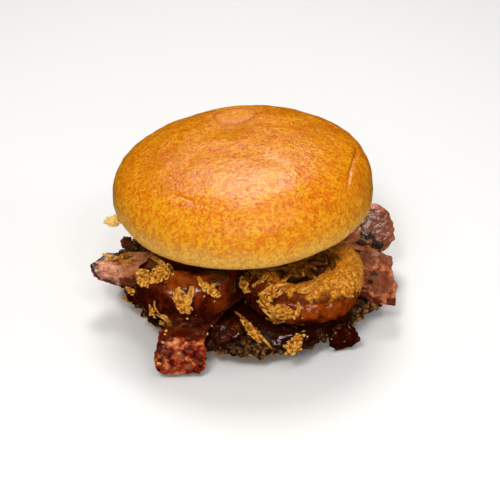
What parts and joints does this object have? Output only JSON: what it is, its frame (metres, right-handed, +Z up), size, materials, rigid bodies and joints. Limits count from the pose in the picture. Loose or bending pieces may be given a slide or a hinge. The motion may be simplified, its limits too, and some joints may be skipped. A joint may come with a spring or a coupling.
{
  "type": "barbecue bacon and onion ring burger",
  "caption": "Bacon burger with sauced onion rings, crispy onion and a smashed beef patty in a glossy brioche bun, served without a plate.",
  "frame": {"origin": "middle of the underside of the bounding box", "axes": "+X to the right as seen from the front, -Y to the front, +Z up"},
  "size_m": [0.1354, 0.1262, 0.0792],
  "materials": {
    "bun_crust": "baked brioche crust, orange gold, softly glossy with fine paler mottling",
    "beef": "griddled minced beef, dark brown and craggy with moist highlights",
    "bacon": "grilled back bacon, pink brown meat with paler fat and charred flecks",
    "onion_ring_batter": "deep fried crumb batter, golden brown and grainy",
    "barbecue_sauce": "dark red brown barbecue sauce, wet and glossy",
    "crispy_onion": "crisp fried onion, amber with darker edges",
    "bun_crumb": "pale open bread crumb"
  },
  "bodies": {
    "root": {"bun_heel": "bun_crust", "beef_patty": "beef", "bacon_rasher_lower": "bacon", "bacon_rasher_upper": "bacon", "bacon_scrap_left": "bacon", "onion_ring_left": "onion_ring_batter", "onion_ring_right": "onion_ring_batter", "bun_crown": "bun_crust", "sauce_coat_left": "barbecue_sauce", "sauce_coat_right": "barbecue_sauce", "sauce_pool_left": "barbecue_sauce", "sauce_drop_front": "barbecue_sauce", "sauce_drip_middle": "barbecue_sauce", "sauce_drip_right": "barbecue_sauce", "sauce_flap_right": "barbecue_sauce", "crispy_onion_heap": "crispy_onion", "crispy_onion_tuft_right": "crispy_onion", "crispy_onion_tuft_middle": "crispy_onion", "crispy_flake_left_edge": "crispy_onion", "crispy_flake_left_large": "crispy_onion", "crispy_flake_left_forked": "crispy_onion", "crispy_flake_left_curl": "crispy_onion", "crispy_flake_middle_top": "crispy_onion", "crispy_flake_right_twist": "crispy_onion", "crispy_flake_right_loop": "crispy_onion", "crispy_flake_right_pale": "crispy_onion", "crispy_flake_front_long": "crispy_onion", "crispy_flake_front_right": "crispy_onion", "crispy_flake_left_low": "crispy_onion", "crispy_flake_left_stem": "crispy_onion", "crispy_flake_left_rear": "crispy_onion", "crispy_flake_patty_edge": "crispy_onion", "bun_crumb_left": "bun_crumb"}
  },
  "joints": []
}
